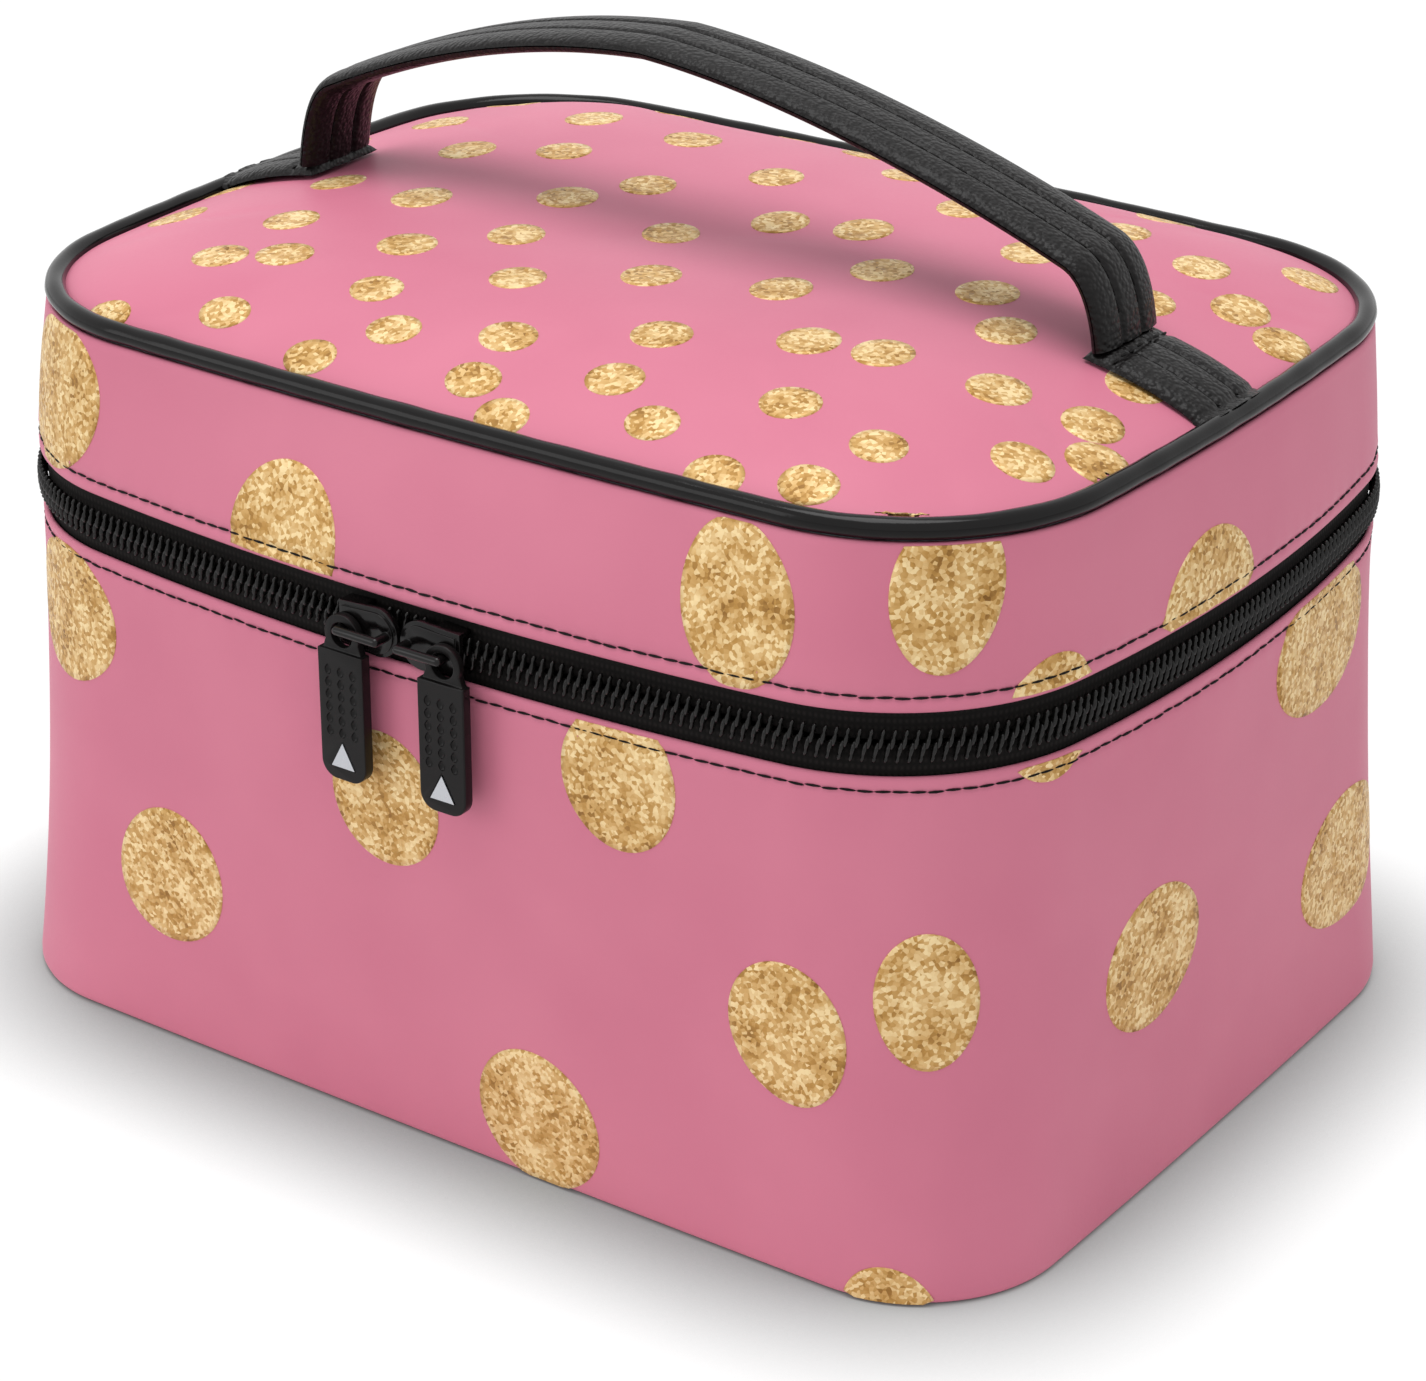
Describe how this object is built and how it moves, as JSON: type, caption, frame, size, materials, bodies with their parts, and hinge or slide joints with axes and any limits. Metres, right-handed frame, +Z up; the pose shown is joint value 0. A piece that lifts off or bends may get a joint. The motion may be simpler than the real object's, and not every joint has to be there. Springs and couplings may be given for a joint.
{
  "type": "makeup train case",
  "caption": "Soft-walled makeup train case with rounded corners, a padded lid that zips round, two zip sliders with rubber pulls and a padded strap handle",
  "frame": {"origin": "centre of the flat underside of the base, on the plane the case rests on", "axes": "+X to the right along the long front wall, +Y from the front to the fabric hinge at the back, +Z up through the lid and the handle"},
  "size_m": [0.2458, 0.2002, 0.1972],
  "materials": {
    "pink_pu": "semi_gloss",
    "wall_foam": "matte",
    "stiff_board": "matte",
    "lining_cloth": "matte",
    "zip_tape": "matte",
    "zip_coil": "satin",
    "black_pu": "semi_gloss",
    "piping_cord": "matte",
    "slider_metal": "gloss",
    "pull_rubber": "satin",
    "silver_inlay": "gloss"
  },
  "bodies": {
    "base": {"base_side_band": "pink_pu", "base_wall_foam": "wall_foam", "base_wall_board": "stiff_board", "base_wall_lining": "lining_cloth", "base_bottom_panel": "pink_pu", "base_bottom_board": "stiff_board", "base_floor_lining": "lining_cloth", "zip_tape_lower": "zip_tape", "zip_coil_lower": "zip_coil", "hinge_panel": "black_pu", "hinge_lining": "lining_cloth"},
    "lid": {"lid_side_band": "pink_pu", "lid_wall_foam": "wall_foam", "lid_wall_board": "stiff_board", "lid_wall_lining": "lining_cloth", "lid_top_panel": "pink_pu", "lid_top_foam": "wall_foam", "lid_top_board": "stiff_board", "lid_top_lining": "lining_cloth", "top_piping": "black_pu", "top_piping_core": "piping_cord", "zip_tape_upper": "zip_tape", "zip_coil_upper": "zip_coil", "handle_anchor_left": "black_pu", "handle_anchor_right": "black_pu"},
    "handle": {"handle_strap": "black_pu", "handle_padding": "wall_foam", "handle_underlay": "black_pu", "handle_leg_left": "black_pu", "handle_leg_right": "black_pu"},
    "slider_left_body": {"slider_left": "slider_metal"},
    "slider_right_body": {"slider_right": "slider_metal"},
    "pull_left_body": {"pull_left": "pull_rubber", "pull_inlay_left": "silver_inlay"},
    "pull_right_body": {"pull_right": "pull_rubber", "pull_inlay_right": "silver_inlay"}
  },
  "joints": [
    {"name": "lid_hinge", "type": "hinge", "parent": "base", "child": "lid", "pos_m": [0, 0.0968, 0.1091], "axis": [-1, 0, 0], "range_deg": [0, 105], "deforming": ["hinge_panel", "hinge_lining", "zip_coil_upper", "zip_coil_lower"]},
    {"name": "handle_lean", "type": "hinge", "parent": "lid", "child": "handle", "pos_m": [0, 0, 0.1572], "axis": [1, 0, 0], "range_deg": [-35, 35], "stiffness_Nm_per_rad": 0.05, "deforming": ["handle_leg_left", "handle_leg_right"]},
    {"name": "slider_left_travel", "type": "hinge", "parent": "base", "child": "slider_left_body", "pos_m": [0, 0.51108, 0.1091], "axis": [0, 0, 1], "range_deg": [-3.3, 0]},
    {"name": "slider_right_travel", "type": "hinge", "parent": "base", "child": "slider_right_body", "pos_m": [0, 0.51108, 0.1091], "axis": [0, 0, 1], "range_deg": [0, 3.5]},
    {"name": "pull_left_swing", "type": "hinge", "parent": "slider_left_body", "child": "pull_left_body", "pos_m": [-0.0095, -0.09594, 0.1091], "axis": [-0.0083, -1, 0], "range_deg": [-150, 25]},
    {"name": "pull_right_swing", "type": "hinge", "parent": "slider_right_body", "child": "pull_right_body", "pos_m": [0.0135, -0.09587, 0.1091], "axis": [0.0149, -0.9999, 0], "range_deg": [-25, 150]}
  ]
}
